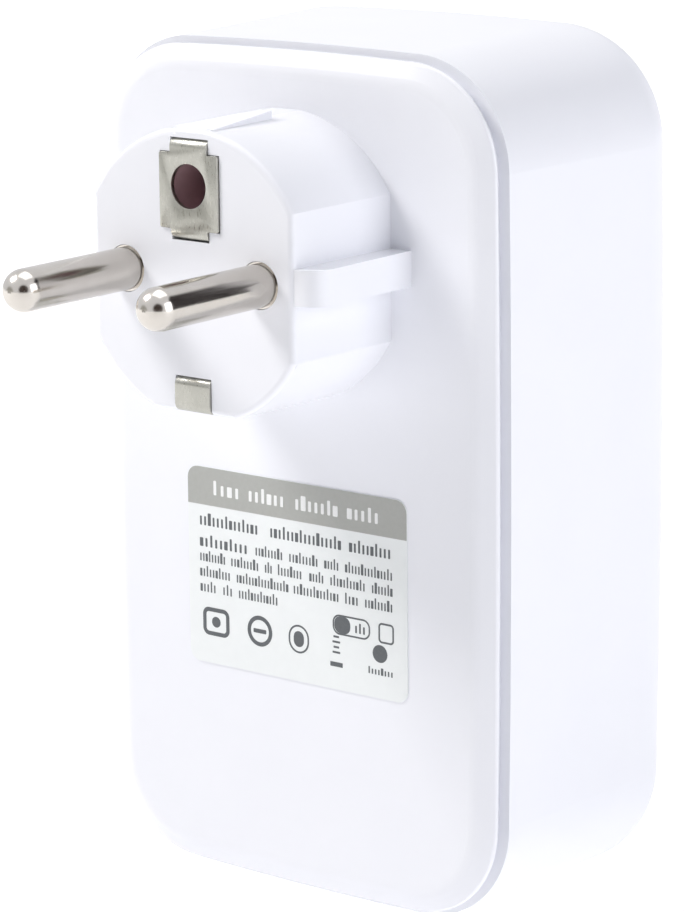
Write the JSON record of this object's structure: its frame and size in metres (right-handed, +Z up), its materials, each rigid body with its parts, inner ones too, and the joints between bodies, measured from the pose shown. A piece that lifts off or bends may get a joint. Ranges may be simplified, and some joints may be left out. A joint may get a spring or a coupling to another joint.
{
  "type": "smart plug",
  "caption": "Tall plug-in smart switch: round two-pin earthed plug behind, earthed socket recess and power button in front.",
  "frame": {"origin": "midway between the two plug pins on the flat face of the plug", "axes": "+Y into the wall along the pins, +Z up along the case, -Y towards the room, +X to the right seen from the room"},
  "size_m": [0.0598, 0.0725, 0.1016],
  "materials": {
    "white_cover": "glossy moulded ABS/PC",
    "white_housing": "glossy moulded ABS/PC",
    "white_cup": "moulded flame-retardant PC",
    "white_button": "glossy moulded ABS",
    "label_film": "printed polyester film",
    "nickel_plate": "nickel-plated brass, polished",
    "nickel_sheet": "nickel-plated bronze sheet",
    "brass_sheet": "bare brass sheet",
    "spring_steel": "drawn steel wire",
    "zinc_screw": "zinc plated",
    "shield_tin": "tinned steel",
    "grey_plastic": "moulded nylon",
    "black_plastic": "moulded nylon",
    "blue_plastic": "moulded polyester",
    "blue_lacquer": "dipped epoxy",
    "yellow_case": "moulded polyester",
    "yellow_tape": "polyester tape",
    "can_sleeve": "shrink sleeve on an aluminium can",
    "ferrite": "sintered ferrite",
    "ceramic": "ceramic tube with plated caps",
    "frosted_clear": "frosted clear PC",
    "led_body": "white moulded package",
    "green_board": "solder mask on glass-epoxy",
    "blue_board": "solder mask on glass-epoxy",
    "fish_paper": "pressed insulating paper",
    "brown_wire": "PVC insulation",
    "blue_wire": "PVC insulation",
    "green_wire": "PVC insulation"
  },
  "bodies": {
    "case": {"rear_cover": "white_cover", "front_housing": "white_housing", "rating_label": "label_film", "plug_pin_live": "nickel_plate", "plug_pin_neutral": "nickel_plate", "pin_retainer": "grey_plastic", "retainer_screws": "zinc_screw", "plug_earth_clip_top": "nickel_sheet", "plug_earth_clip_bottom": "nickel_sheet", "earth_bridge": "brass_sheet", "socket_cup": "white_cup", "shutter_spring": "spring_steel", "contact_carrier": "black_plastic", "carrier_screws": "zinc_screw", "socket_contact_live": "brass_sheet", "socket_contact_neutral": "brass_sheet", "socket_earth_strap": "nickel_sheet", "light_ring": "frosted_clear", "status_light_pipe": "frosted_clear", "tact_switch": "black_plastic", "control_board": "green_board", "control_board_screws": "zinc_screw", "ring_leds": "led_body", "status_led": "led_body", "radio_module": "blue_board", "radio_shield": "shield_tin", "main_board": "green_board", "main_board_screws": "zinc_screw", "board_header": "black_plastic", "relay": "blue_plastic", "transformer_core": "ferrite", "transformer_winding": "yellow_tape", "input_capacitor": "can_sleeve", "output_capacitor": "can_sleeve", "film_capacitor": "yellow_case", "varistor": "blue_lacquer", "fuse": "ceramic", "bridge_rectifier": "black_plastic", "inductor": "ferrite", "insulating_sheet": "fish_paper", "pin_lead_live": "brown_wire", "pin_lead_neutral": "blue_wire", "socket_lead_live": "brown_wire", "socket_lead_neutral": "blue_wire", "earth_lead": "green_wire"},
    "shutter": {"socket_shutter": "grey_plastic"},
    "button": {"power_button": "white_button"},
    "plunger": {"tact_switch_plunger": "grey_plastic"}
  },
  "joints": [
    {"name": "shutter_slide", "type": "slide", "parent": "case", "child": "shutter", "axis": [0, 0, -1], "range_m": [0, 0.0064], "stiffness_N_per_m": 120, "springref_m": -0.004, "deforming": ["shutter_spring"]},
    {"name": "button_slide", "type": "slide", "parent": "case", "child": "button", "axis": [0, 1, 0], "range_m": [0, 0.0005], "stiffness_N_per_m": 1600, "springref_m": -0.0005},
    {"name": "plunger_slide", "type": "slide", "parent": "case", "child": "plunger", "axis": [0, 1, 0], "range_m": [0, 0.0005]}
  ],
  "couplings": [
    {"joint": "plunger_slide", "follows": "button_slide", "ratio": 1}
  ]
}
